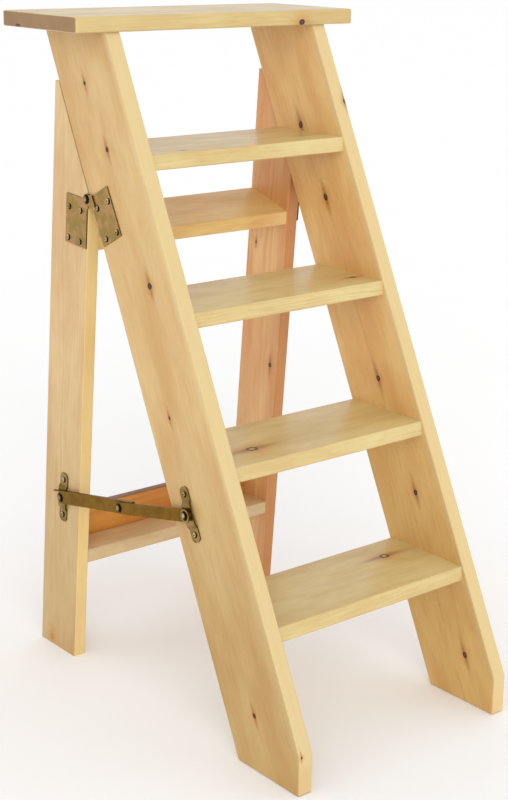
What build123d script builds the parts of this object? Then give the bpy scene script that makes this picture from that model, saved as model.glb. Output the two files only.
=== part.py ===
"""Folding wooden step ladder: a leaning front frame with four treads and a top
board, a rear frame hinged to it, and one folding metal stay on the left side.

+Z is up, the front of the ladder faces -Y and +X is on the climber's right.
The origin is on the floor, in the middle of the ladder's footprint.
Side-view points are (depth, height): depth is measured back from the toe of
the stiles and height up from the floor.  All sizes are millimetres.
"""
import os
from math import cos, hypot, radians, sin, tan

from build123d import *

os.makedirs("parts", exist_ok=True)

# ---- Driving dimensions -------------------------------------------------
HALF_WIDTH = 228.0  # middle of the ladder to the outer face of a stile
BOARD_THICKNESS = 25.0  # treads, top board and crosspieces
EDGE_ROUND = 3.0  # softening of every long wooden edge
END_MARGIN = 1.0  # an edge this near a board's top or foot belongs to its end cut

STILE_WIDTH = 160.5
STILE_THICKNESS = 27.5
STILE_LEAN = 25.4  # degrees back from vertical
TOE_HEIGHT = 66.0  # upright cut at the front of each stile
TREAD_TOPS = (240.0, 468.0, 692.0, 924.0)
TREAD_SETBACK = 2.5  # tread front and back behind the stile's edges

TOP_BOARD_LENGTH = 575.0
TOP_BOARD_DEPTH = 218.0
TOP_BOARD_FRONT = 487.5  # depth of its front edge
TOP_BOARD_UNDERSIDE = 1108.0
TOP_BOARD_CORNER = 7.0

LEG_WIDTH = 109.0
LEG_THICKNESS = 24.0
LEG_LEAN = 4.7  # degrees forward from vertical
LEG_TOP = 1022.0
LEG_FOOT_BACK = 727.6  # depth of the back of the foot
SEAM_GAP = 0.5  # between a stile's back edge and the head of the leg

UPPER_CROSSPIECE_FRONT_TOP = 773.0  # height of its front top edge
UPPER_CROSSPIECE_DEPTH = 105.0
UPPER_CROSSPIECE_SLOPE = 18.0  # degrees, front edge lower
CROSSPIECE_SETBACK = 2.5  # crosspiece front behind the leg's front edge
LOWER_BATTEN_TOP = 203.0
LOWER_BATTEN_DEPTH = 67.0
LOWER_BOARD_TOP = 257.0
LOWER_BOARD_THICKNESS = 18.0

DOWEL_RADIUS = 5.0
DOWEL_IN_STILE = 14.0  # depth of the blind hole in the upright
DOWEL_IN_BOARD = 28.0
DOWEL_EASE = 1.0  # chamfer at both ends of a dowel
TREAD_DOWEL_INSET = 45.0  # from the stile's edges
UPPER_DOWEL_SPREAD = 30.0  # from the middle of the upper crosspiece
LOWER_DOWEL_INSET = 17.0  # from the edges of the lower crosspieces

PIVOT = (549.2, 838.4)  # hinge axis in side view
LEAF_THICKNESS = 2.0
LEAF_HEIGHT = 84.5
LEAF_CORNER = 1.5
FRONT_LEAF_LEAN = 27.7  # the leaf is screwed on slightly askew to the stile
FRONT_LEAF_INSET = 7.0  # leaf edge ahead of the pivot
FRONT_LEAF_WIDTH = 56.0
REAR_LEAF_INSET = 0.5  # leaf edge behind the pivot
REAR_LEAF_WIDTH = 61.5
REAR_LEAF_DROP = 2.0  # top edge below the pivot
FRONT_SCREW_COLUMNS = (20.5, 55.0)  # ahead of the pivot
REAR_SCREW_COLUMNS = (18.5, 52.5)  # behind the pivot
HINGE_SCREW_ROWS = (-23.5, -76.0)  # below the pivot
EAR_RADIUS = 9.0  # rounded ear around the hinge rivet
EAR_DROP = 20.0  # height of the stepped-out part of the front leaf
EAR_STEP = 15.0  # ahead of the pivot, where that part steps out
EAR_SHOULDER = 3.0  # height of the slope from the ear back to the leaf's edge
EAR_TAPER = 2.0  # the front ear's narrowing towards its foot
REAR_EAR_REACH = 17.0  # behind the pivot, where the rear ear joins its leaf
RIVET_RADIUS = 3.5
RIVET_HEAD_RADIUS = 8.2
RIVET_HEAD_HEIGHT = 3.2
RUNNING_FIT = 0.06  # radial, between a rivet and a hole that turns on it
SLIDING_GAP = 0.3  # between flat pieces that move past each other
WASHER_RADIUS = 11.0
WASHER_THICKNESS = 1.2

SCREW_SHANK_RADIUS = 1.9
SCREW_HEAD_RADIUS = 5.4
SCREW_HEAD_HEIGHT = 2.9
SCREW_LENGTH = 11.0  # of the shank below the head
SCREW_CROSS = 1.1  # width of the cross recess
SCREW_CROSS_DEPTH = 1.4

BRACKET_LENGTH = 91.0
BRACKET_WIDTH = 22.0
BRACKET_THICKNESS = 2.0
BRACKET_HEIGHT = 5.5  # outside of the raised middle
BRACKET_BRIDGE = 17.0  # half length of the raised middle
BRACKET_RAMP = 5.0
BRACKET_RAMP_SHIFT = 1.0  # outside of the ramp beyond its inside
BRACKET_END_ROUND = 9.0
BRACKET_SCREW = 33.0  # screw to the middle of the bracket
STAY_REAR = (640.0, 298.0)  # pivot on the rear leg
STAY_FRONT = (271.5, 375.5)  # pivot on the front stile
STAY_SPLIT = 0.5  # place of the middle pivot along the stay
STAY_SAG = 2.5  # middle pivot below the straight line between the ends
LINK_WIDTH = 20.5
LINK_THICKNESS = 2.5
LINK_TAIL = 42.0  # rear link beyond the middle pivot
FLANGE_RISE = 1.7  # underside of the rear link's flange above the link's edge
FLANGE_THICKNESS = 1.8
FLANGE_REACH = 16.0  # of the flange behind the rear pivot

# ---- Worked-out sizes ---------------------------------------------------
STILE_SLOPE = tan(radians(STILE_LEAN))
LEG_SLOPE = tan(radians(LEG_LEAN))
STILE_RUN = STILE_WIDTH / cos(radians(STILE_LEAN))  # level cut across a stile
LEG_RUN = LEG_WIDTH / cos(radians(LEG_LEAN))
STILE_INNER = HALF_WIDTH - STILE_THICKNESS
LEG_INNER = HALF_WIDTH - LEG_THICKNESS
REAR_LINK_BASE = BRACKET_HEIGHT + SLIDING_GAP
FRONT_LINK_BASE = REAR_LINK_BASE + LINK_THICKNESS + SLIDING_GAP
LINK_OUTSIDE = FRONT_LINK_BASE + LINK_THICKNESS
ORIGIN_DEPTH = LEG_FOOT_BACK / 2  # the origin is in the middle of the footprint
SIDES = {"left": -1, "right": 1}
LEFT = SIDES["left"]
X_AXIS = Vector(1, 0, 0)


def stile_front(height):
    """Depth of the stile's front edge, above the toe."""
    return (height - TOE_HEIGHT) * STILE_SLOPE


def stile_back(height):
    return stile_front(height) + STILE_RUN


def leg_back(height):
    return LEG_FOOT_BACK - height * LEG_SLOPE


def leg_front(height):
    return leg_back(height) - LEG_RUN


def side_plane(x):
    """Side view at x: drawn across is depth, drawn up is height."""
    return Plane(origin=(x, -ORIGIN_DEPTH, 0), x_dir=(0, 1, 0), z_dir=(1, 0, 0))


def from_pivot(lean, behind, up):
    """Side-view point from the hinge pivot, squared to a part that leans back."""
    lean = radians(lean)
    return (
        PIVOT[0] + behind * cos(lean) + up * sin(lean),
        PIVOT[1] - behind * sin(lean) + up * cos(lean),
    )


def on_front_leaf(ahead, up):
    return from_pivot(FRONT_LEAF_LEAN, -ahead, up)


def on_rear_leaf(behind, up):
    return from_pivot(-LEG_LEAN, behind, up)


def along(start, lean, reach):
    """Side-view point up a line that leans back by lean degrees."""
    return (
        start[0] + reach * sin(radians(lean)),
        start[1] + reach * cos(radians(lean)),
    )


def distance(start, end):
    return hypot(end[0] - start[0], end[1] - start[1])


def save(piece, name):
    piece.part.label = name
    export_step(piece.part, f"parts/{name}.step")


def pins(x, points, radius, depth, mode=Mode.ADD):
    """Round pins or holes at side-view points, from the plane at x along X."""
    with BuildSketch(side_plane(x)) as rounds:
        with Locations(*points):
            Circle(radius)
    extrude(rounds.sketch, amount=depth, mode=mode)


def soften_long_edges(builder):
    """Round the long edges, but not those of the end cuts."""
    box = builder.part.bounding_box()
    lengthwise = builder.edges().filter_by(Axis.X, reverse=True)
    lowest = box.min.Z + END_MARGIN
    highest = box.max.Z - END_MARGIN
    inner = [edge for edge in lengthwise if lowest < edge.center().Z < highest]
    fillet(inner, radius=EDGE_ROUND)


def top_dowel_rounds(height):
    """The four dowels between the stiles and the top board, as circles."""
    with BuildSketch(Plane.XY.offset(height)) as rounds:
        with Locations(*top_dowel_points):
            Circle(DOWEL_RADIUS)
    return rounds.sketch


# ---- Joinery and fastener places, in side view ---------------------------
upper_direction = 90 - UPPER_CROSSPIECE_SLOPE
UPPER_FRONT = (
    leg_front(UPPER_CROSSPIECE_FRONT_TOP) + CROSSPIECE_SETBACK,
    UPPER_CROSSPIECE_FRONT_TOP,
)
UPPER_BACK = along(UPPER_FRONT, upper_direction, UPPER_CROSSPIECE_DEPTH)
BATTEN_FRONT = leg_front(LOWER_BATTEN_TOP) + CROSSPIECE_SETBACK
BATTEN_BACK = BATTEN_FRONT + LOWER_BATTEN_DEPTH
BATTEN_UNDERSIDE = LOWER_BATTEN_TOP - BOARD_THICKNESS

upper_middle = (
    (UPPER_FRONT[0] + UPPER_BACK[0]) / 2,
    (UPPER_FRONT[1] + UPPER_BACK[1]) / 2 - BOARD_THICKNESS / 2,
)
batten_middle = LOWER_BATTEN_TOP - BOARD_THICKNESS / 2
board_middle = BATTEN_BACK + LOWER_BOARD_THICKNESS / 2
tread_dowels = []
for top in TREAD_TOPS:
    middle = top - BOARD_THICKNESS / 2
    tread_dowels.append((stile_front(middle) + TREAD_DOWEL_INSET, middle))
    tread_dowels.append((stile_back(middle) - TREAD_DOWEL_INSET, middle))
crosspiece_dowels = [
    along(upper_middle, upper_direction, -UPPER_DOWEL_SPREAD),
    along(upper_middle, upper_direction, UPPER_DOWEL_SPREAD),
    (BATTEN_FRONT + LOWER_DOWEL_INSET, batten_middle),
    (BATTEN_BACK - LOWER_DOWEL_INSET, batten_middle),
    (board_middle, BATTEN_UNDERSIDE + LOWER_DOWEL_INSET),
    (board_middle, LOWER_BOARD_TOP - LOWER_DOWEL_INSET),
]
top_dowel_points = []
for sign in SIDES.values():
    stile_middle = sign * (HALF_WIDTH - STILE_THICKNESS / 2)
    first = stile_front(TOP_BOARD_UNDERSIDE) + TREAD_DOWEL_INSET - ORIGIN_DEPTH
    last = stile_back(TOP_BOARD_UNDERSIDE) - TREAD_DOWEL_INSET - ORIGIN_DEPTH
    top_dowel_points += [(stile_middle, first), (stile_middle, last)]

front_leaf_screws = [on_front_leaf(a, u) for a in FRONT_SCREW_COLUMNS for u in HINGE_SCREW_ROWS]
rear_leaf_screws = [on_rear_leaf(b, u) for b in REAR_SCREW_COLUMNS for u in HINGE_SCREW_ROWS]
bracket_screw_reaches = (-BRACKET_SCREW, BRACKET_SCREW)
front_bracket_screws = [along(STAY_FRONT, STILE_LEAN, d) for d in bracket_screw_reaches]
rear_bracket_screws = [along(STAY_REAR, -LEG_LEAN, d) for d in bracket_screw_reaches]

# ---- Front frame: stiles, treads and top board ----------------------------
for side, sign in SIDES.items():
    lowest_x = min(sign * HALF_WIDTH, sign * STILE_INNER)
    screws = front_leaf_screws + (front_bracket_screws if side == "left" else [])
    with BuildPart() as front_stile:
        with BuildSketch(side_plane(lowest_x)):
            with BuildLine():
                Polyline(
                    (0, 0),
                    (0, TOE_HEIGHT),
                    (stile_front(TOP_BOARD_UNDERSIDE), TOP_BOARD_UNDERSIDE),
                    (stile_back(TOP_BOARD_UNDERSIDE), TOP_BOARD_UNDERSIDE),
                    (stile_back(0), 0),
                    close=True,
                )
            make_face()
        extrude(amount=STILE_THICKNESS)
        soften_long_edges(front_stile)
        toe = front_stile.edges().filter_by(Axis.X).group_by(Axis.Z)[0].sort_by(Axis.Y)[0]
        fillet(toe, radius=EDGE_ROUND)
        pins(sign * STILE_INNER, tread_dowels, DOWEL_RADIUS,
             sign * DOWEL_IN_STILE, Mode.SUBTRACT)
        pins(sign * HALF_WIDTH, screws, SCREW_SHANK_RADIUS,
             sign * (LEAF_THICKNESS - SCREW_LENGTH), Mode.SUBTRACT)
        holes = top_dowel_rounds(TOP_BOARD_UNDERSIDE)
        extrude(holes, amount=-DOWEL_IN_BOARD, mode=Mode.SUBTRACT)
    save(front_stile, f"front_stile_{side}")

for number, top in enumerate(TREAD_TOPS, start=1):
    underside = top - BOARD_THICKNESS
    holes = tread_dowels[2 * number - 2:2 * number]
    with BuildPart() as tread:
        with BuildSketch(side_plane(-STILE_INNER)):
            with BuildLine():
                Polyline(
                    (stile_front(top) + TREAD_SETBACK, top),
                    (stile_back(top) - TREAD_SETBACK, top),
                    (stile_back(underside) - TREAD_SETBACK, underside),
                    (stile_front(top) + TREAD_SETBACK - EDGE_ROUND, underside),
                    close=True,
                )
            make_face()
        extrude(amount=2 * STILE_INNER)
        fillet(tread.edges().filter_by(Axis.X), radius=EDGE_ROUND)
        for sign in SIDES.values():
            pins(sign * STILE_INNER, holes, DOWEL_RADIUS, -sign * DOWEL_IN_BOARD, Mode.SUBTRACT)
    save(tread, f"tread_{number}")

with BuildPart() as top_board:
    middle_depth = TOP_BOARD_FRONT + TOP_BOARD_DEPTH / 2 - ORIGIN_DEPTH
    with BuildSketch(Plane.XY.offset(TOP_BOARD_UNDERSIDE)):
        with Locations((0, middle_depth)):
            RectangleRounded(TOP_BOARD_LENGTH, TOP_BOARD_DEPTH, TOP_BOARD_CORNER)
    extrude(amount=BOARD_THICKNESS)
    fillet(top_board.edges().filter_by(Axis.Z, reverse=True), radius=EDGE_ROUND)
    holes = top_dowel_rounds(TOP_BOARD_UNDERSIDE)
    extrude(holes, amount=DOWEL_IN_STILE, mode=Mode.SUBTRACT)
save(top_board, "top_board")

# ---- Rear frame: legs and crosspieces -------------------------------------
seam_corner_height = (leg_front(0) - stile_back(0) - SEAM_GAP) / (STILE_SLOPE + LEG_SLOPE)
for side, sign in SIDES.items():
    lowest_x = min(sign * HALF_WIDTH, sign * LEG_INNER)
    screws = rear_leaf_screws + (rear_bracket_screws if side == "left" else [])
    with BuildPart() as rear_leg:
        with BuildSketch(side_plane(lowest_x)):
            with BuildLine():
                Polyline(
                    (leg_front(0), 0),
                    (leg_back(0), 0),
                    (leg_back(LEG_TOP), LEG_TOP),
                    (stile_back(LEG_TOP) + SEAM_GAP, LEG_TOP),
                    (leg_front(seam_corner_height), seam_corner_height),
                    close=True,
                )
            make_face()
        extrude(amount=LEG_THICKNESS)
        soften_long_edges(rear_leg)
        pins(sign * LEG_INNER, crosspiece_dowels, DOWEL_RADIUS,
             sign * DOWEL_IN_STILE, Mode.SUBTRACT)
        pins(sign * HALF_WIDTH, screws, SCREW_SHANK_RADIUS,
             sign * (LEAF_THICKNESS - SCREW_LENGTH), Mode.SUBTRACT)
    save(rear_leg, f"rear_leg_{side}")

upper_section = (
    UPPER_FRONT,
    UPPER_BACK,
    (UPPER_BACK[0] + BOARD_THICKNESS * LEG_SLOPE, UPPER_BACK[1] - BOARD_THICKNESS),
    (UPPER_FRONT[0] + BOARD_THICKNESS * LEG_SLOPE, UPPER_FRONT[1] - BOARD_THICKNESS),
)
batten_section = (
    (BATTEN_FRONT, LOWER_BATTEN_TOP),
    (BATTEN_BACK, LOWER_BATTEN_TOP),
    (BATTEN_BACK, BATTEN_UNDERSIDE),
    (BATTEN_FRONT + BOARD_THICKNESS * LEG_SLOPE, BATTEN_UNDERSIDE),
)
board_section = (
    (BATTEN_BACK, BATTEN_UNDERSIDE),
    (BATTEN_BACK, LOWER_BOARD_TOP),
    (BATTEN_BACK + LOWER_BOARD_THICKNESS, LOWER_BOARD_TOP),
    (BATTEN_BACK + LOWER_BOARD_THICKNESS, BATTEN_UNDERSIDE),
)
crosspieces = {
    "rear_upper_crosspiece": (upper_section, crosspiece_dowels[0:2]),
    "rear_lower_batten": (batten_section, crosspiece_dowels[2:4]),
    "rear_lower_board": (board_section, crosspiece_dowels[4:6]),
}
for name, (section, holes) in crosspieces.items():
    with BuildPart() as crosspiece:
        with BuildSketch(side_plane(-LEG_INNER)):
            with BuildLine():
                Polyline(*section, close=True)
            make_face()
        extrude(amount=2 * LEG_INNER)
        fillet(crosspiece.edges().filter_by(Axis.X), radius=EDGE_ROUND)
        for sign in SIDES.values():
            pins(sign * LEG_INNER, holes, DOWEL_RADIUS, -sign * DOWEL_IN_BOARD, Mode.SUBTRACT)
    save(crosspiece, name)

# ---- Hidden dowels --------------------------------------------------------
for side, sign in SIDES.items():
    groups = {
        "tread_dowels": (tread_dowels, STILE_INNER),
        "crosspiece_dowels": (crosspiece_dowels, LEG_INNER),
    }
    for name, (points, face) in groups.items():
        with BuildPart() as dowels:
            start = sign * (face - DOWEL_IN_BOARD + DOWEL_EASE)
            length = DOWEL_IN_BOARD + DOWEL_IN_STILE - 2 * DOWEL_EASE
            pins(start, points, DOWEL_RADIUS, sign * length)
            chamfer(dowels.edges().filter_by(GeomType.CIRCLE), length=DOWEL_EASE)
        save(dowels, f"{name}_{side}")

with BuildPart() as top_board_dowels:
    ends = top_dowel_rounds(TOP_BOARD_UNDERSIDE - DOWEL_IN_BOARD + DOWEL_EASE)
    extrude(ends, amount=DOWEL_IN_BOARD + DOWEL_IN_STILE - 2 * DOWEL_EASE)
    chamfer(top_board_dowels.edges().filter_by(GeomType.CIRCLE), length=DOWEL_EASE)
save(top_board_dowels, "top_board_dowels")


# ---- Metalwork ------------------------------------------------------------
def side_axis_plane(point, offset, sign):
    """Plane for a turned section: drawn up runs outwards along the pin."""
    origin = (sign * (HALF_WIDTH + offset), point[0] - ORIGIN_DEPTH, point[1])
    return Plane(origin=origin, x_dir=(0, 1, 0), z_dir=Vector(0, 1, 0).cross(X_AXIS * sign))


def turned_pin(point, sign, offset, shank_radius, shank_length, head_radius, head_height):
    """Domed head on a round shank; offset is where the head meets its plate."""
    plane = side_axis_plane(point, offset, sign)
    with BuildSketch(plane) as section:
        with BuildLine():
            Line((0, -shank_length), (shank_radius, -shank_length))
            Line((shank_radius, -shank_length), (shank_radius, 0))
            Line((shank_radius, 0), (head_radius, 0))
            TangentArc((0, head_height), (head_radius, 0), tangent=(1, 0))
            Line((0, head_height), (0, -shank_length))
        make_face()
    revolve(section.sketch, axis=Axis(plane.origin, X_AXIS))


def screw_cross(point, sign):
    """Cross recess in the head of a screw."""
    surface = LEAF_THICKNESS + SCREW_HEAD_HEIGHT
    with BuildSketch(side_plane(sign * (HALF_WIDTH + surface))) as cross:
        with Locations(point):
            Rectangle(SCREW_HEAD_RADIUS, SCREW_CROSS)
            Rectangle(SCREW_CROSS, SCREW_HEAD_RADIUS)
    extrude(cross.sketch, amount=-sign * SCREW_CROSS_DEPTH, mode=Mode.SUBTRACT)


def save_screws(points, sign, name):
    with BuildPart() as screws:
        for point in points:
            turned_pin(point, sign, LEAF_THICKNESS, SCREW_SHANK_RADIUS, SCREW_LENGTH,
                       SCREW_HEAD_RADIUS, SCREW_HEAD_HEIGHT)
        for point in points:
            screw_cross(point, sign)
    save(screws, name)


ear_inside = LEAF_THICKNESS + SLIDING_GAP
front_leaf_edge = FRONT_LEAF_INSET + FRONT_LEAF_WIDTH
rear_leaf_edge = REAR_LEAF_INSET + REAR_LEAF_WIDTH
riser_edge = EAR_STEP + LEAF_THICKNESS
front_leaf_outline = [
    on_front_leaf(EAR_STEP, 0),
    on_front_leaf(front_leaf_edge, 0),
    on_front_leaf(front_leaf_edge, -LEAF_HEIGHT),
    on_front_leaf(FRONT_LEAF_INSET, -LEAF_HEIGHT),
    on_front_leaf(FRONT_LEAF_INSET, -EAR_DROP - EAR_SHOULDER),
    on_front_leaf(EAR_STEP, -EAR_DROP),
]
front_ear_outline = [
    on_front_leaf(riser_edge, 0),
    on_front_leaf(0, EAR_RADIUS),
    on_front_leaf(-EAR_RADIUS, 0),
    on_front_leaf(EAR_TAPER - EAR_RADIUS, -EAR_DROP / 2),
    on_front_leaf(riser_edge, -EAR_DROP),
]
riser_outline = [
    on_front_leaf(EAR_STEP, 0),
    on_front_leaf(riser_edge, 0),
    on_front_leaf(riser_edge, -EAR_DROP),
    on_front_leaf(EAR_STEP, -EAR_DROP),
]
rear_leaf_outline = [
    on_rear_leaf(REAR_LEAF_INSET, -REAR_LEAF_DROP),
    on_rear_leaf(rear_leaf_edge, -REAR_LEAF_DROP),
    on_rear_leaf(rear_leaf_edge, -LEAF_HEIGHT),
    on_rear_leaf(REAR_LEAF_INSET, -LEAF_HEIGHT),
]
rear_ear_outline = [
    on_rear_leaf(0, EAR_RADIUS),
    on_rear_leaf(REAR_EAR_REACH, -REAR_LEAF_DROP),
    on_rear_leaf(REAR_EAR_REACH, -EAR_DROP),
    on_rear_leaf(REAR_LEAF_INSET, -EAR_DROP),
    on_rear_leaf(-EAR_RADIUS, 0),
]

for side, sign in SIDES.items():
    with BuildPart() as front_leaf:
        with BuildSketch(side_plane(sign * HALF_WIDTH)) as plate:
            with BuildLine():
                Polyline(*front_leaf_outline, close=True)
            make_face()
            corners = plate.vertices().sort_by_distance(Vector(*PIVOT))
            fillet(corners[-3:], radius=LEAF_CORNER)
        extrude(amount=sign * LEAF_THICKNESS)
        with BuildSketch(side_plane(sign * (HALF_WIDTH + ear_inside))):
            with BuildLine():
                Polyline(*front_ear_outline, close=True)
            make_face()
            with Locations(PIVOT):
                Circle(EAR_RADIUS)
        extrude(amount=sign * LEAF_THICKNESS)
        with BuildSketch(side_plane(sign * HALF_WIDTH)):
            with BuildLine():
                Polyline(*riser_outline, close=True)
            make_face()
        extrude(amount=sign * (ear_inside + LEAF_THICKNESS))
        pins(sign * HALF_WIDTH, [PIVOT], RIVET_RADIUS, sign * 2 * EAR_RADIUS, Mode.SUBTRACT)
        pins(sign * HALF_WIDTH, front_leaf_screws, SCREW_SHANK_RADIUS,
             sign * LEAF_THICKNESS, Mode.SUBTRACT)
    save(front_leaf, f"hinge_front_leaf_{side}")

    with BuildPart() as rear_leaf:
        with BuildSketch(side_plane(sign * HALF_WIDTH)) as plate:
            with BuildLine():
                Polyline(*rear_leaf_outline, close=True)
            make_face()
            corners = plate.vertices().sort_by_distance(Vector(*PIVOT))
            fillet(corners[1:], radius=LEAF_CORNER)
        extrude(amount=sign * LEAF_THICKNESS)
        with BuildSketch(side_plane(sign * (HALF_WIDTH + SLIDING_GAP))):
            with BuildLine():
                Polyline(*rear_ear_outline, close=True)
            make_face()
            with Locations(PIVOT):
                Circle(EAR_RADIUS)
        extrude(amount=sign * (LEAF_THICKNESS - SLIDING_GAP))
        pins(sign * HALF_WIDTH, [PIVOT], RIVET_RADIUS + RUNNING_FIT,
             sign * LEAF_THICKNESS, Mode.SUBTRACT)
        pins(sign * HALF_WIDTH, rear_leaf_screws, SCREW_SHANK_RADIUS,
             sign * LEAF_THICKNESS, Mode.SUBTRACT)
    save(rear_leaf, f"hinge_rear_leaf_{side}")

    with BuildPart() as hinge_rivet:
        turned_pin(PIVOT, sign, ear_inside + LEAF_THICKNESS, RIVET_RADIUS,
                   2 * LEAF_THICKNESS, RIVET_HEAD_RADIUS, RIVET_HEAD_HEIGHT)
    save(hinge_rivet, f"hinge_rivet_{side}")
    save_screws(front_leaf_screws, sign, f"hinge_front_screws_{side}")
    save_screws(rear_leaf_screws, sign, f"hinge_rear_screws_{side}")

# ---- Folding stay, on the left side only ----------------------------------
span = Vector(STAY_FRONT[0] - STAY_REAR[0], STAY_FRONT[1] - STAY_REAR[1])
STAY_MIDDLE = (
    STAY_REAR[0] + STAY_SPLIT * span.X - STAY_SAG * span.Y / span.length,
    STAY_REAR[1] + STAY_SPLIT * span.Y + STAY_SAG * span.X / span.length,
)

brackets = {
    "stay_front": (STAY_FRONT, STILE_LEAN, front_bracket_screws),
    "stay_rear": (STAY_REAR, -LEG_LEAN, rear_bracket_screws),
}
for name, (middle, lean, screws) in brackets.items():
    end = BRACKET_LENGTH / 2
    foot = BRACKET_BRIDGE + BRACKET_RAMP
    inside = BRACKET_HEIGHT - BRACKET_THICKNESS
    direction = Vector(0, sin(radians(lean)), cos(radians(lean)))
    origin = (LEFT * HALF_WIDTH, middle[0] - ORIGIN_DEPTH, middle[1])
    with BuildPart() as bracket:
        strip = Plane(origin=origin, x_dir=direction, z_dir=direction.cross(X_AXIS * LEFT))
        with BuildSketch(strip):
            with BuildLine():
                Polyline(
                    (-end, 0),
                    (-foot, 0),
                    (-BRACKET_BRIDGE, inside),
                    (BRACKET_BRIDGE, inside),
                    (foot, 0),
                    (end, 0),
                    (end, BRACKET_THICKNESS),
                    (foot + BRACKET_RAMP_SHIFT, BRACKET_THICKNESS),
                    (BRACKET_BRIDGE + BRACKET_RAMP_SHIFT, BRACKET_HEIGHT),
                    (-BRACKET_BRIDGE - BRACKET_RAMP_SHIFT, BRACKET_HEIGHT),
                    (-foot - BRACKET_RAMP_SHIFT, BRACKET_THICKNESS),
                    (-end, BRACKET_THICKNESS),
                    close=True,
                )
            make_face()
        extrude(amount=BRACKET_WIDTH / 2, both=True)
        fillet(bracket.edges().filter_by(Axis.X), radius=BRACKET_END_ROUND)
        pins(LEFT * HALF_WIDTH, screws, SCREW_SHANK_RADIUS,
             LEFT * BRACKET_THICKNESS, Mode.SUBTRACT)
        if name == "stay_front":
            pins(LEFT * HALF_WIDTH, [middle], RIVET_RADIUS,
                 LEFT * BRACKET_HEIGHT, Mode.SUBTRACT)
    save(bracket, f"{name}_bracket")
    save_screws(screws, LEFT, f"{name}_bracket_screws")


def link_frame(start, end, offset):
    """Plane of a link: drawn across runs from start to end, drawn up is above."""
    run = Vector(0, end[0] - start[0], end[1] - start[1]).normalized()
    origin = (LEFT * (HALF_WIDTH + offset), start[0] - ORIGIN_DEPTH, start[1])
    return Plane(origin=origin, x_dir=run, z_dir=X_AXIS * LEFT)


def ring(offset, radius, thickness):
    """Flat ring round the stay's front pivot, from an offset outwards."""
    pins(LEFT * (HALF_WIDTH + offset), [STAY_FRONT], radius, LEFT * thickness)
    pins(LEFT * (HALF_WIDTH + offset), [STAY_FRONT], RIVET_RADIUS,
         LEFT * thickness, Mode.SUBTRACT)


with BuildPart() as stay_front_link:
    length = distance(STAY_MIDDLE, STAY_FRONT)
    with BuildSketch(link_frame(STAY_MIDDLE, STAY_FRONT, FRONT_LINK_BASE)):
        with Locations((length / 2, 0)):
            SlotCenterToCenter(length, LINK_WIDTH)
        Circle(RIVET_RADIUS, mode=Mode.SUBTRACT)
        with Locations((length, 0)):
            Circle(RIVET_RADIUS + RUNNING_FIT, mode=Mode.SUBTRACT)
    extrude(amount=LINK_THICKNESS)
save(stay_front_link, "stay_front_link")

with BuildPart() as stay_rear_link:
    length = distance(STAY_REAR, STAY_MIDDLE)
    flange_base = LINK_WIDTH / 2 + FLANGE_RISE
    flange_length = FLANGE_REACH + length + LINK_TAIL
    with BuildSketch(link_frame(STAY_REAR, STAY_MIDDLE, REAR_LINK_BASE)):
        with Locations((length / 2, 0)):
            SlotCenterToCenter(length, LINK_WIDTH)
        with Locations((length + LINK_TAIL / 2, 0)):
            Rectangle(LINK_TAIL, LINK_WIDTH)
        Rectangle(length + LINK_TAIL, flange_base, align=(Align.MIN, Align.MIN))
        Circle(RIVET_RADIUS, mode=Mode.SUBTRACT)
        with Locations((length, 0)):
            Circle(RIVET_RADIUS + RUNNING_FIT, mode=Mode.SUBTRACT)
    extrude(amount=LINK_THICKNESS)
    with BuildSketch(link_frame(STAY_REAR, STAY_MIDDLE, REAR_LINK_BASE)):
        with Locations((-FLANGE_REACH, flange_base)):
            Rectangle(flange_length, FLANGE_THICKNESS, align=(Align.MIN, Align.MIN))
    extrude(amount=LINK_OUTSIDE - REAR_LINK_BASE)
save(stay_rear_link, "stay_rear_link")

collar_thickness = FRONT_LINK_BASE - SLIDING_GAP - BRACKET_HEIGHT
washer_base = LINK_OUTSIDE + SLIDING_GAP
front_head_base = washer_base + WASHER_THICKNESS
with BuildPart() as stay_front_rivet:
    turned_pin(STAY_FRONT, LEFT, front_head_base, RIVET_RADIUS,
               front_head_base - BRACKET_HEIGHT + BRACKET_THICKNESS,
               RIVET_HEAD_RADIUS, RIVET_HEAD_HEIGHT)
save(stay_front_rivet, "stay_front_rivet")

with BuildPart() as stay_front_collar:
    ring(BRACKET_HEIGHT, RIVET_HEAD_RADIUS, collar_thickness)
save(stay_front_collar, "stay_front_collar")

with BuildPart() as stay_front_washer:
    ring(washer_base, WASHER_RADIUS, WASHER_THICKNESS)
save(stay_front_washer, "stay_front_washer")

with BuildPart() as stay_middle_rivet:
    tail_base = REAR_LINK_BASE - SLIDING_GAP - WASHER_THICKNESS
    turned_pin(STAY_MIDDLE, LEFT, LINK_OUTSIDE, RIVET_RADIUS,
               LINK_OUTSIDE - tail_base, RIVET_HEAD_RADIUS, RIVET_HEAD_HEIGHT)
    pins(LEFT * (HALF_WIDTH + tail_base), [STAY_MIDDLE], RIVET_HEAD_RADIUS,
         LEFT * WASHER_THICKNESS)
save(stay_middle_rivet, "stay_middle_rivet")

with BuildPart() as stay_rear_rivet:
    turned_pin(STAY_REAR, LEFT, REAR_LINK_BASE + LINK_THICKNESS, RIVET_RADIUS,
               LINK_THICKNESS, RIVET_HEAD_RADIUS, RIVET_HEAD_HEIGHT)
save(stay_rear_rivet, "stay_rear_rivet")
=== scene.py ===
"""Looks for the folding step ladder: lacquered pine boards and bronzed metalwork.

Lengths are in metres in the ladder's own frame: +Z is up, the front faces -Y,
+X is on the climber's right and the origin is on the floor under the middle.
"""
from math import cos, radians, sin

import bpy
from mathutils import Matrix, Vector


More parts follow.
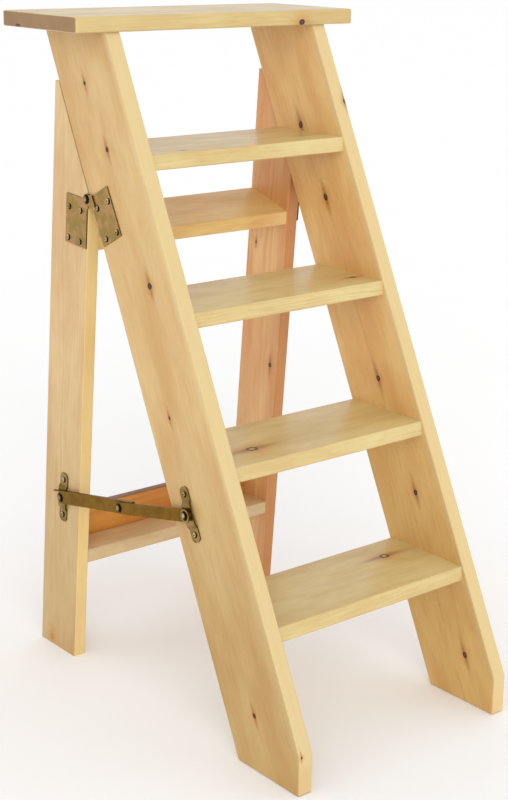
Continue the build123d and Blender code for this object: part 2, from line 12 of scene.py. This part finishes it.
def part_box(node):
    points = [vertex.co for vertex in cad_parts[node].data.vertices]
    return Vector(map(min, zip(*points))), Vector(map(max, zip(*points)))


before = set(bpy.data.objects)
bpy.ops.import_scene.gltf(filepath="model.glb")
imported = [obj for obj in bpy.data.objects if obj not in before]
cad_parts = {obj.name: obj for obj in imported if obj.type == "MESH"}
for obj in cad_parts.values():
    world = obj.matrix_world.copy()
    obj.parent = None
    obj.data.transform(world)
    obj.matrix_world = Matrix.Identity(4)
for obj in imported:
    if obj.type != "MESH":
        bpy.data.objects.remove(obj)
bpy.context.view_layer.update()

STILE_LEAN = radians(25.4)  # back from vertical
LEG_LEAN = radians(4.7)  # forward from vertical
CROSSPIECE_SLOPE = radians(18.0)  # front edge lower

UP_STILE = Vector((0, sin(STILE_LEAN), cos(STILE_LEAN)))
ACROSS_STILE = Vector((0, cos(STILE_LEAN), -sin(STILE_LEAN)))
UP_LEG = Vector((0, -sin(LEG_LEAN), cos(LEG_LEAN)))
ACROSS_LEG = Vector((0, cos(LEG_LEAN), sin(LEG_LEAN)))
SIDEWAYS = Vector((1, 0, 0))
BACKWARDS = Vector((0, 1, 0))
UPWARDS = Vector((0, 0, 1))
ACROSS_CROSSPIECE = Vector((0, cos(CROSSPIECE_SLOPE), sin(CROSSPIECE_SLOPE)))

MILLIMETRE = 0.001


def colour(red, green, blue):
    """Linear colour from the usual 0 to 255 values."""
    def linear(value):
        share = value / 255
        return share / 12.92 if share <= 0.04045 else ((share + 0.055) / 1.055) ** 2.4
    return (linear(red), linear(green), linear(blue), 1.0)


# ---- Material graphs --------------------------------------------------------
class Graph:
    """A material's nodes written as formulas: each call adds one node."""

    def __init__(self, name):
        self.material = bpy.data.materials.new(name)
        self.material.use_nodes = True
        self.tree = self.material.node_tree
        self.shader = self.tree.nodes["Principled BSDF"]
        self.place = self.add("ShaderNodeTexCoord", {}, "Object")

    def join(self, value, socket):
        if isinstance(value, bpy.types.NodeSocket):
            self.tree.links.new(value, socket)
        else:
            socket.default_value = value

    def add(self, kind, inputs, output=0, **settings):
        node = self.tree.nodes.new(kind)
        for key, value in settings.items():
            setattr(node, key, value)
        for key, value in inputs.items():
            self.join(value, node.inputs[key])
        return node.outputs[output]

    def maths(self, operation, *values):
        return self.add("ShaderNodeMath", dict(enumerate(values)), operation=operation)

    def vector(self, operation, *values, output=0):
        inputs = dict(enumerate(values))
        return self.add("ShaderNodeVectorMath", inputs, output, operation=operation)

    def dot(self, a, b):
        return self.vector("DOT_PRODUCT", a, b, output="Value")

    def scaled(self, vector, scales):
        return self.vector("MULTIPLY", vector, scales)

    def noise(self, place, detail=2.0, roughness=0.5, output=0):
        inputs = {"Vector": place, "Scale": 1.0, "Detail": detail, "Roughness": roughness}
        return self.add("ShaderNodeTexNoise", inputs, output)

    def ramp(self, value, start, end, low=0.0, high=1.0):
        """Smooth step from low to high as value goes from start to end."""
        inputs = {"Value": value, "From Min": start, "From Max": end, "To Min": low, "To Max": high}
        return self.add("ShaderNodeMapRange", inputs, interpolation_type="SMOOTHSTEP")

    def mix(self, share, a, b, blend="MIX"):
        node = self.tree.nodes.new("ShaderNodeMix")
        node.data_type = "RGBA"
        node.blend_type = blend
        for index, value in {0: share, 6: a, 7: b}.items():
            self.join(value, node.inputs[index])
        return node.outputs[2]

    def bell(self, value, width):
        """1 at value 0, falling smoothly to about a third at the width."""
        ratio = self.maths("DIVIDE", value, width)
        square = self.maths("MULTIPLY", ratio, ratio)
        return self.maths("EXPONENT", self.maths("MULTIPLY", square, -1.0))

    def bump(self, height, distance, strength=1.0):
        inputs = {"Height": height, "Distance": distance, "Strength": strength}
        normal = self.add("ShaderNodeBump", inputs)
        self.join(normal, self.shader.inputs["Normal"])

    def set(self, **inputs):
        for name, value in inputs.items():
            self.join(value, self.shader.inputs[name.replace("_", " ")])


# ---- Pine -------------------------------------------------------------------
RING_WIDTH = 5.0 * MILLIMETRE
SEED_STEP = Vector((3.1, 1.7, 2.3))  # moves each board's noise to a place of its own
NOISE_MIDDLE = Vector((0.5, 0.5, 0.5))
WANDER = Vector((0, 0.04, 0.04))  # slow drift of the rings, off the pith line
RIPPLE = Vector((0, 0.005, 0.005))  # quick drift of the rings
PITH_TAPER = 0.015  # share of a distance along the grain that counts towards a ring's radius
EDGE_KNOT_DEPTH = 4.0  # of a short knot, in its radii
KNOT_STRETCH = 1.25  # length of a knot along the grain, in its widths
STREAK_STRETCH = 7.0  # of the dark streak through a knot
KNOT_BEND = 2.2  # rings pushed aside by a knot
RELIEF_DEPTH = 0.1 * MILLIMETRE
SHAKE_WIDTH = 0.6 * MILLIMETRE
SHAKE_DRIFT = 0.016
SPLIT_SCALE = Vector((150, 110, 360))  # about one over the crack's half size, in metres
LOW_TONE_START = 0.62  # height where the sides begin to dull
LOW_TONE_END = 0.12
SEAM_FOOT = 0.84  # height of the ends of the seam between stile and leg
SEAM_HEAD = 1.02
SEAM_FADE = 0.005
KNOT_DARK = colour(70, 36, 8)
KNOT_BROWN = colour(100, 60, 20)
KNOT_PALE = colour(190, 156, 98)
KNOT_ORANGE = colour(190, 122, 66)
KNOT_RIM = colour(44, 20, 2)
STREAK = colour(146, 86, 26)
HALO = colour(198, 134, 60)
END_GRAIN = colour(172, 146, 124)
FIBRE = colour(204, 166, 116)
FLECK = colour(170, 124, 72)
SEAM_SHADE = colour(126, 88, 44)
# painted shade: dark brown for the top face of the rear lower board
PAINTED_TOP_SHADE = colour(92, 58, 30)
LOW_TONE = colour(230, 226, 208)

PINK_PINE = {"early": colour(216, 183, 124), "blotch": colour(204, 162, 101), "late": colour(190, 145, 86)}
CREAM_PINE = {"early": colour(220, 191, 138), "blotch": colour(209, 170, 118), "late": colour(190, 148, 92)}
PALE_PINE = {"early": colour(220, 200, 140), "blotch": colour(206, 178, 116), "late": colour(188, 150, 90)}
HONEY_PINE = {"early": colour(236, 206, 138), "blotch": colour(224, 182, 116), "late": colour(206, 158, 92)}
CAP_PINE = {"early": colour(212, 188, 128), "blotch": colour(200, 168, 108), "late": colour(184, 146, 88)}
# the far stile's own warm tone, made lighter and more orange as painted fill light on its shaded inner face
WARM_PINE_WITH_PAINTED_FILL = {"early": colour(230, 193, 126), "blotch": colour(218, 168, 102), "late": colour(200, 146, 84)}
RED_PINE = {"early": colour(228, 184, 124), "blotch": colour(220, 160, 102), "late": colour(194, 122, 66)}
ORANGE_PINE = {"early": colour(216, 152, 68), "blotch": colour(200, 128, 50), "late": colour(172, 98, 36)}
GREY_PINE = {"early": colour(214, 188, 144), "blotch": colour(200, 168, 122), "late": colour(180, 144, 98)}
SAPWOOD = colour(217, 194, 139)
PALE_EDGE = colour(230, 202, 130)
HEARTWOOD = colour(206, 140, 84)
ORANGE_EDGE = colour(176, 108, 44)


def board_place(graph, centre, grain, across, seed):
    """Place in the board, as (along the grain, across the face, through)."""
    through = grain.cross(across)
    rest = graph.vector("SUBTRACT", graph.place, centre)
    parts = {i: graph.dot(rest, axis) for i, axis in enumerate((grain, across, through))}
    inside = graph.add("ShaderNodeCombineXYZ", parts)
    shifted = graph.vector("ADD", inside, SEED_STEP * seed)
    return inside, shifted


def nearest_knot(graph, inside, board, stretch):
    """Distance to the nearest knot's axis in that knot's radii, drawn out along the grain.

    A knot is placed on the board's best face, and runs from there to the pith. An
    edge knot is a short one that shows on an edge and ends soon behind it.
    """
    distances = []
    across_pith, through_pith = board["pith"]
    face = board["face"]
    for along, across, radius in board["knots"]:
        branch = Vector((0, across - across_pith, face - through_pith)).normalized()
        offset = graph.vector("SUBTRACT", inside, Vector((along, across, face)))
        offset = graph.scaled(offset, Vector((1 / stretch, 1, 1)))
        outwards = graph.vector("CROSS_PRODUCT", offset, branch)
        distance = graph.vector("LENGTH", outwards, output="Value")
        distances.append(graph.maths("DIVIDE", distance, radius))
    for place, radius in board["edge_knots"]:
        offset = graph.vector("SUBTRACT", inside, Vector(place))
        offset = graph.scaled(offset, Vector((1 / stretch, 1 / EDGE_KNOT_DEPTH, 1)))
        distance = graph.vector("LENGTH", offset, output="Value")
        distances.append(graph.maths("DIVIDE", distance, radius))
    nearest = distances[0]
    for distance in distances[1:]:
        nearest = graph.maths("MINIMUM", nearest, distance)
    return nearest


def growth_rings(g, inside, shifted, pith, seed):
    """Count of years from the pith line, which wanders beside the board."""
    wander = g.noise(g.scaled(shifted, Vector((1.4, 6, 6))), output="Color")
    wander = g.scaled(g.vector("SUBTRACT", wander, NOISE_MIDDLE), WANDER)
    ripple = g.noise(g.scaled(shifted, Vector((12, 50, 50))), output="Color")
    ripple = g.scaled(g.vector("SUBTRACT", ripple, NOISE_MIDDLE), RIPPLE)
    from_pith = g.vector("SUBTRACT", inside, Vector((0, pith[0], pith[1])))
    from_pith = g.vector("ADD", g.vector("ADD", from_pith, wander), ripple)
    radius = g.vector("LENGTH", g.scaled(from_pith, Vector((PITH_TAPER, 1, 1))), output="Value")
    years = g.maths("DIVIDE", radius, RING_WIDTH)
    uneven = g.add("ShaderNodeCombineXYZ", {0: g.maths("MULTIPLY", years, 0.4), 1: seed * 1.0})
    return g.maths("ADD", years, g.maths("MULTIPLY", g.noise(uneven), 2.4))


def pine(name, centre, board, seed):
    """Lacquered pine, with its own rings, knots and tone for each board."""
    g = Graph(name)
    grain, pith, tones = board["grain"], board["pith"], board["tones"]
    knots = board["knots"] or board["edge_knots"]
    inside, shifted = board_place(g, centre, grain, board["across"], seed)
    years = growth_rings(g, inside, shifted, pith, seed)

    if knots:
        uneven = g.noise(g.scaled(shifted, Vector((160, 240, 240))), detail=3.0)
        uneven = g.maths("MULTIPLY", g.maths("SUBTRACT", uneven, 0.5), 0.6)
        near = g.maths("ADD", nearest_knot(g, inside, board, KNOT_STRETCH), uneven)
        streak = g.maths("ADD", nearest_knot(g, inside, board, STREAK_STRETCH), uneven)
        years = g.maths("ADD", years, g.maths("MULTIPLY", g.bell(near, 4.2), KNOT_BEND))

    phase = g.maths("FRACT", years)
    late = g.maths("MULTIPLY", g.ramp(phase, 0.2, 0.92), g.ramp(phase, 1.0, 0.93))
    patchy = g.noise(g.scaled(shifted, Vector((2.4, 18, 18))))
    late = g.maths("MULTIPLY", late, g.ramp(patchy, 0.35, 0.75, 0.05, 0.8))

    broad = g.noise(g.scaled(shifted, Vector((4.5, 15, 15))), detail=4.0, roughness=0.6)
    wood = g.mix(g.ramp(broad, 0.35, 0.7), tones["early"], tones["blotch"])
    cloud = g.noise(g.scaled(shifted, Vector((15, 32, 32))), detail=4.0, roughness=0.65)
    wood = g.mix(g.ramp(cloud, 0.45, 0.75, 0.0, 0.4), wood, tones["blotch"])
    across = g.add("ShaderNodeSeparateXYZ", {"Vector": inside}, "Y")
    for start, end, tone, share in board["bands"]:
        uneven_share = g.ramp(broad, 0.15, 0.6, share * 0.6, share)
        band = g.maths("MULTIPLY", g.ramp(across, start, end), uneven_share)
        wood = g.mix(band, wood, tone)
    wood = g.mix(g.maths("MULTIPLY", late, board["figure"]), wood, tones["late"])

    fibre = g.noise(g.scaled(shifted, Vector((14, 520, 520))), detail=3.0, roughness=0.6)
    wood = g.mix(g.ramp(fibre, 0.42, 0.7, 0.0, 0.35), wood, g.mix(0.5, wood, FIBRE, "MULTIPLY"))
    fleck = g.noise(g.scaled(shifted, Vector((55, 900, 900))), detail=1.0)
    wood = g.mix(g.ramp(fleck, 0.68, 0.78, 0.0, 0.3), wood, FLECK)

    normal = g.add("ShaderNodeTexCoord", {}, "Normal")
    end = g.ramp(g.maths("ABSOLUTE", g.dot(normal, grain)), 0.6, 0.95, 0.0, 0.9)
    wood = g.mix(end, wood, END_GRAIN, "MULTIPLY")

    height = g.add("ShaderNodeSeparateXYZ", {"Vector": g.place}, "Z")
    if "low_tone" in board:
        side = g.ramp(g.maths("ABSOLUTE", g.dot(normal, SIDEWAYS)), 0.3, 0.8)
        low = g.ramp(height, LOW_TONE_START, LOW_TONE_END, 0.0, board["low_tone"])
        low = g.maths("MULTIPLY", side, low)
        wood = g.mix(low, wood, LOW_TONE, "MULTIPLY")
    if "front_tone" in board:
        front = g.ramp(g.dot(normal, -BACKWARDS), 0.6, 0.88, 0.0, 0.55)
        wood = g.mix(front, wood, board["front_tone"])
    # painted shade: top-facing faces are darkened, standing in for shade and a dark reflection on them
    if "top_grime" in board:
        grime = g.ramp(g.dot(normal, UPWARDS), 0.3, 0.9, 0.0, board["top_grime"])
        wood = g.mix(grime, wood, PAINTED_TOP_SHADE)
    if "shake" in board:
        drift = g.noise(g.scaled(shifted, Vector((7, 0, 0))), detail=3.0)
        drift = g.maths("MULTIPLY", g.maths("SUBTRACT", drift, 0.5), SHAKE_DRIFT)
        line = g.maths("ADD", g.maths("SUBTRACT", across, board["shake"]), drift)
        broken = g.ramp(g.noise(g.scaled(shifted, Vector((14, 0, 0)))), 0.42, 0.6, 0.0, 0.7)
        line = g.maths("MULTIPLY", g.bell(line, SHAKE_WIDTH), broken)
        wood = g.mix(line, wood, STREAK)
    if "split" in board:
        away = g.scaled(g.vector("SUBTRACT", g.place, board["split"]), SPLIT_SCALE)
        ragged = g.maths("MULTIPLY", g.noise(g.scaled(shifted, Vector((400, 400, 400)))), 0.8)
        away = g.maths("ADD", g.vector("LENGTH", away, output="Value"), ragged)
        wood = g.mix(g.ramp(away, 1.5, 1.0, 0.0, 0.9), wood, KNOT_RIM)
    if "seam" in board:
        facing = g.ramp(g.dot(normal, board["seam"]), 0.4, 0.9, 0.0, 0.75)
        foot = g.ramp(height, SEAM_FOOT - SEAM_FADE, SEAM_FOOT + SEAM_FADE)
        head = g.ramp(height, SEAM_HEAD + SEAM_FADE, SEAM_HEAD - SEAM_FADE)
        beside_leg = g.maths("MULTIPLY", foot, head)
        wood = g.mix(g.maths("MULTIPLY", facing, beside_leg), wood, SEAM_SHADE)

    relief = g.maths("SUBTRACT", g.maths("MULTIPLY", late, 0.5), g.maths("MULTIPLY", fibre, 0.7))
    if knots:
        wood = g.mix(g.maths("MULTIPLY", g.bell(near, 3.2), 0.6), wood, HALO)
        wood = g.mix(g.maths("MULTIPLY", g.bell(streak, 1.0), board["streak"]), wood, STREAK)
        wood = g.mix(g.ramp(near, 1.1, 0.8), wood, board["heart"])
        rim = g.maths("MULTIPLY", g.ramp(near, 0.3, 0.75), g.ramp(near, 1.35, 1.0))
        wood = g.mix(g.maths("MULTIPLY", rim, board["rim"]), wood, KNOT_RIM)
        relief = g.maths("ADD", relief, g.ramp(near, 1.2, 0.8, 0.0, 1.2))
    g.bump(relief, RELIEF_DEPTH, 0.5)

    sheen = g.noise(g.scaled(shifted, Vector((9, 30, 30))), detail=3.0)
    g.set(Base_Color=wood, Roughness=g.ramp(sheen, 0.2, 0.8, 0.34, 0.5))
    g.set(Coat_Weight=board["gloss"], Coat_Roughness=0.22, Coat_IOR=1.45)
    g.set(Specular_IOR_Level=0.4)
    return g.material


TREAD_FACE = 0.0125  # from the middle of a tread to its top


def cut(grain, across, pith, tones, knots=(), figure=0.3, heart=KNOT_BROWN, rim=0.95, **extra):
    """How one board was cut: its directions, pith place, tones and knots.

    A knot is (along, across, radius), and an edge knot is (place, radius).
    """
    board = {"grain": grain, "across": across, "pith": pith, "tones": tones}
    board.update(knots=knots, figure=figure, heart=heart, rim=rim)
    board.update(edge_knots=(), bands=(), face=TREAD_FACE, gloss=0.4, streak=0.75)
    board.update(extra)
    return board


STILE_FACE = 0.0137  # from the middle of a stile to the face that shows its knots
LEG_FACE = 0.012
STILE_EDGE = -0.094  # front edge of a stile, across from the middle of its box
LEG_EDGE = -0.0895
CAP_EDGE = -0.109
NEAR_STILE_KNOTS = (
    (0.519, -0.004, 0.0024),
    (0.403, -0.017, 0.003),
    (0.172, -0.034, 0.0036),
    (-0.034, 0.007, 0.0022),
    (-0.515, -0.009, 0.003),
)
FAR_STILE_KNOTS = (
    (0.422, 0.003, 0.0042),
    (0.284, -0.009, 0.0042),
    (-0.046, -0.016, 0.0038),
    (-0.253, -0.03, 0.0036),
    (-0.539, -0.041, 0.0038),
)
CAP_SPLIT = Vector((-0.2875, 0.2925, 1.1115))  # short crack low on the near end of the cap
BACK_OF_STILE = ACROSS_STILE
FRONT_OF_LEG_HEAD = -ACROSS_STILE
BOARDS = {
    "front_stile_left": cut(
        UP_STILE, ACROSS_STILE, (0.025, 0.075), PINK_PINE, NEAR_STILE_KNOTS, figure=0.22,
        face=STILE_FACE, edge_knots=(((-0.586, STILE_EDGE, 0.0085), 0.0014),), low_tone=0.9,
        seam=BACK_OF_STILE, gloss=0.12, front_tone=SAPWOOD, heart=KNOT_DARK,
        bands=((STILE_EDGE + 0.016, STILE_EDGE, SAPWOOD, 0.9),),
    ),
    "front_stile_right": cut(
        UP_STILE, ACROSS_STILE, (-0.02, 0.07), WARM_PINE_WITH_PAINTED_FILL, FAR_STILE_KNOTS, figure=0.22,
        face=STILE_FACE, edge_knots=(((0.428, STILE_EDGE, -0.0108), 0.0028),), low_tone=0.9,
        seam=BACK_OF_STILE, gloss=0.12, front_tone=SAPWOOD, shake=-0.011,
        bands=((STILE_EDGE + 0.018, STILE_EDGE, SAPWOOD, 0.9),),
    ),
    "rear_leg_left": cut(
        UP_LEG, ACROSS_LEG, (0.03, 0.07), CREAM_PINE, ((-0.501, 0.011, 0.0045),), figure=0.5,
        heart=KNOT_ORANGE, rim=0.1, face=LEG_FACE, seam=FRONT_OF_LEG_HEAD,
        low_tone=1.0, gloss=0.2, streak=0.15, front_tone=PALE_EDGE,
        bands=((LEG_EDGE + 0.012, LEG_EDGE, PALE_EDGE, 0.9),),
    ),
    "rear_leg_right": cut(
        UP_LEG, ACROSS_LEG, (0.0, 0.09), RED_PINE,
        ((0.192, 0.022, 0.0018), (-0.031, -0.042, 0.003)), figure=0.6,
        face=LEG_FACE, seam=FRONT_OF_LEG_HEAD, gloss=0.2, front_tone=ORANGE_EDGE,
        bands=((-0.03, -0.05, HEARTWOOD, 0.55), (LEG_EDGE + 0.01, LEG_EDGE, ORANGE_EDGE, 0.95)),
    ),
    "tread_1": cut(
        SIDEWAYS, BACKWARDS, (0.03, -0.08), PALE_PINE, ((0.13, 0.03, 0.0065),), heart=KNOT_PALE, rim=0.85,
        figure=0.2,
    ),
    "tread_2": cut(
        SIDEWAYS, BACKWARDS, (-0.02, -0.07), PALE_PINE, ((-0.121, -0.026, 0.0075),),
        heart=KNOT_PALE, rim=0.85, figure=0.2,
    ),
    "tread_3": cut(SIDEWAYS, BACKWARDS, (-0.05, -0.06), PALE_PINE, ((0.178, -0.034, 0.004),)),
    "tread_4": cut(SIDEWAYS, BACKWARDS, (0.05, -0.09), PALE_PINE, ((-0.127, -0.066, 0.0018),)),
    "top_board": cut(
        SIDEWAYS, BACKWARDS, (0.02, -0.1), CAP_PINE,
        edge_knots=(((0.1707, CAP_EDGE, -0.007), 0.0042),), streak=0.3, split=CAP_SPLIT,
    ),
    "rear_upper_crosspiece": cut(SIDEWAYS, ACROSS_CROSSPIECE, (0.02, -0.05), HONEY_PINE, figure=0.25),
    "rear_lower_batten": cut(SIDEWAYS, BACKWARDS, (0.01, -0.06), GREY_PINE),
    "rear_lower_board": cut(
        SIDEWAYS, UPWARDS, (0.01, 0.05), ORANGE_PINE, figure=0.8, top_grime=0.8, gloss=0.15,
    ),
}
for seed, (name, board) in enumerate(BOARDS.items(), start=1):
    low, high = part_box(name)
    material = pine(f"pine_{name}", (low + high) / 2, board, seed)
    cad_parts[name].material_slots[0].material = material


# ---- Dowels -----------------------------------------------------------------
def beech():
    """Pale plain dowel rod, hidden once the ladder is glued up."""
    g = Graph("beech_dowel")
    flecks = g.noise(g.scaled(g.place, Vector((120, 900, 900))), detail=3.0)
    g.set(Base_Color=g.mix(g.ramp(flecks, 0.4, 0.7), colour(216, 180, 138), colour(190, 148, 104)))
    g.set(Roughness=0.7)
    return g.material


# ---- Metal ------------------------------------------------------------------
STAIN = colour(92, 66, 30)
SCRATCH = colour(214, 190, 140)
PATINA = colour(38, 24, 10)
# painted shade for the edges of flat metal parts
PAINTED_EDGE_SHADE = colour(92, 74, 26)
PAINTED_SHADE_SIDE = Vector((0, -0.6, -0.8))  # painted shade: a head's lower front is drawn darker, as the side turned from the light
WEAR_FADE = 0.35  # share of a dome's height over which bright turns to dark
DENT_DEPTH = 0.15 * MILLIMETRE


def bronzed(name, light, dark, roughness, crown=None, dome=None, worn=0.0):
    """Antique brass: patchy lacquer with fine scratches.

    A domed head also has a crown, the side-to-side place of its highest point,
    and the dome's height: it is worn bright on top, down to the worn share of that
    height, and dark round its foot. Its lower front is darker still, as painted shade.
    """
    g = Graph(name)
    patches = g.noise(g.scaled(g.place, Vector((45, 45, 45))), detail=5.0, roughness=0.6)
    stains = g.noise(g.scaled(g.place, Vector((240, 240, 240))), detail=4.0, roughness=0.7)
    scratches = g.noise(g.scaled(g.place, Vector((900, 120, 1600))), detail=2.0)
    metal = g.mix(g.ramp(patches, 0.38, 0.62), dark, light)
    metal = g.mix(g.ramp(stains, 0.55, 0.75, 0.0, 0.5), metal, STAIN)
    metal = g.mix(g.ramp(scratches, 0.68, 0.76, 0.0, 0.35), metal, SCRATCH)
    normal = g.add("ShaderNodeTexCoord", {}, "Normal")
    if dome:
        out = g.add("ShaderNodeSeparateXYZ", {"Vector": g.place}, "X")
        depth = g.maths("SUBTRACT", abs(crown), g.maths("ABSOLUTE", out))
        depth = g.maths("DIVIDE", depth, dome)
        # painted shade: the head's lower front is pushed towards the dark foot colour
        depth = g.maths("ADD", depth, g.maths("MULTIPLY", g.dot(normal, PAINTED_SHADE_SIDE), 0.3))
        metal = g.mix(g.ramp(depth, worn, worn + WEAR_FADE), metal, PATINA)
    else:
        # painted shade: faces that do not point sideways, the plate edges, are darkened in place of their
        # shade and dark reflections
        flat = g.maths("ABSOLUTE", g.dot(normal, SIDEWAYS))
        metal = g.mix(g.ramp(flat, 0.9, 0.6, 0.0, 0.9), metal, PAINTED_EDGE_SHADE)
    uneven = g.maths("ADD", g.maths("MULTIPLY", stains, 0.25), roughness - 0.12)
    g.set(Base_Color=metal, Roughness=uneven, Metallic=1.0)
    g.bump(g.maths("ADD", stains, g.maths("MULTIPLY", patches, 2.0)), DENT_DEPTH, 0.5)
    return g.material


RIVET_DOME = 3.2 * MILLIMETRE
SCREW_DOME = 2.9 * MILLIMETRE
plate = bronzed("bronzed_plate", colour(184, 142, 92), colour(156, 130, 66), 0.38)
link = bronzed("bronzed_link", colour(136, 98, 8), colour(120, 84, 4), 0.42)
bracket = bronzed("bronzed_bracket", colour(164, 132, 78), colour(132, 108, 50), 0.36)
dowel = beech()


def metal_for(name):
    """The finish of a metal node."""
    low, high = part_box(name)
    crown = low.x if abs(low.x) > abs(high.x) else high.x
    if name.endswith("_link"):
        return link
    if "rivet" in name:
        bright, dull = colour(206, 184, 146), colour(150, 124, 84)
        return bronzed(f"bronzed_{name}", bright, dull, 0.28, crown, RIVET_DOME, 0.02)
    if "screws" in name:
        bright, dull = colour(222, 202, 156), colour(176, 150, 98)
        return bronzed(f"bronzed_{name}", bright, dull, 0.26, crown, SCREW_DOME, 0.25)
    return bracket if name.startswith("stay") else plate


for name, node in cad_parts.items():
    if name not in BOARDS:
        node.material_slots[0].material = dowel if "dowels" in name else metal_for(name)


# ---- Floor, light and camera --------------------------------------------------
FLOOR_SIZE = 80.0


def make_floor():
    signs = ((-1, -1), (1, -1), (1, 1), (-1, 1))
    corners = [(x * FLOOR_SIZE / 2, y * FLOOR_SIZE / 2, 0) for x, y in signs]
    mesh = bpy.data.meshes.new("floor")
    mesh.from_pydata(corners, [], [(0, 1, 2, 3)])
    floor = bpy.data.objects.new("floor", mesh)
    bpy.context.scene.collection.objects.link(floor)
    g = Graph("pale_floor")
    mottle = g.noise(g.scaled(g.place, Vector((3, 3, 3))), detail=4.0)
    g.set(Base_Color=g.mix(mottle, colour(251, 251, 251), colour(253, 253, 253)), Roughness=0.9)
    mesh.materials.append(g.material)


def make_sun(name, towards, strength, spread):
    """Even light that travels towards a direction, as soft as its spread."""
    data = bpy.data.lights.new(name, "SUN")
    data.energy = strength
    data.angle = radians(spread)
    lamp = bpy.data.objects.new(name, data)
    lamp.rotation_mode = "QUATERNION"
    lamp.rotation_quaternion = Vector(towards).to_track_quat("-Z", "Y")
    bpy.context.scene.collection.objects.link(lamp)


def make_sky(strength, dark_side):
    """White studio all round: pure white where it is looked at, a little dimmer as a light.

    Reflections also show its dark side. That is a fixed side of the room, the one
    that the main camera stands on, and it stays there when the camera moves.
    """
    world = bpy.data.worlds.new("studio")
    world.use_nodes = True
    nodes, links = world.node_tree.nodes, world.node_tree.links
    background = nodes["Background"]
    direction = nodes.new("ShaderNodeTexCoord")
    facing = nodes.new("ShaderNodeVectorMath")
    facing.operation = "DOT_PRODUCT"
    facing.inputs[1].default_value = Vector(dark_side).normalized()
    links.new(direction.outputs["Generated"], facing.inputs[0])
    room = nodes.new("ShaderNodeMapRange")
    room.interpolation_type = "SMOOTHSTEP"
    limits = {"From Min": 0.1, "From Max": 0.9, "To Min": strength, "To Max": 0.2 * strength}
    for key, value in limits.items():
        room.inputs[key].default_value = value
    links.new(facing.outputs["Value"], room.inputs["Value"])
    path = nodes.new("ShaderNodeLightPath")
    reflected = nodes.new("ShaderNodeMix")
    reflected.inputs[2].default_value = strength
    links.new(path.outputs["Is Glossy Ray"], reflected.inputs[0])
    links.new(room.outputs[0], reflected.inputs[3])
    seen = nodes.new("ShaderNodeMix")
    seen.inputs[3].default_value = 1.0
    links.new(path.outputs["Is Camera Ray"], seen.inputs[0])
    links.new(reflected.outputs[0], seen.inputs[2])
    links.new(seen.outputs[0], background.inputs["Strength"])
    background.inputs["Color"].default_value = (1.0, 1.0, 1.0, 1.0)
    bpy.context.scene.world = world


def make_camera():
    """Camera at head height, in front of the ladder and to its left."""
    yaw, pitch, roll = radians(39.81), radians(-15.49), radians(0.86)
    forward = Vector((sin(yaw) * cos(pitch), cos(yaw) * cos(pitch), sin(pitch)))
    level_right = Vector((cos(yaw), -sin(yaw), 0))
    level_up = level_right.cross(forward)
    right = level_right * cos(roll) + level_up * sin(roll)
    up = level_up * cos(roll) - level_right * sin(roll)
    data = bpy.data.cameras.new("camera")
    data.lens = 72.67
    data.sensor_width = 36.0
    data.shift_x = -0.0158
    data.shift_y = -0.0389
    data.clip_end = 200.0
    camera = bpy.data.objects.new("camera", data)
    turn = Matrix((right, up, -forward)).transposed().to_4x4()
    camera.matrix_world = Matrix.Translation((-1.6698, -2.0038, 1.2781)) @ turn
    bpy.context.scene.collection.objects.link(camera)
    bpy.context.scene.camera = camera


make_floor()
make_sky(0.91, (-0.6, -0.75, 0.15))
make_sun("key", (0.5, 0.8, -0.38), 1.08, 45)
make_camera()
bpy.context.scene.view_settings.view_transform = "Standard"
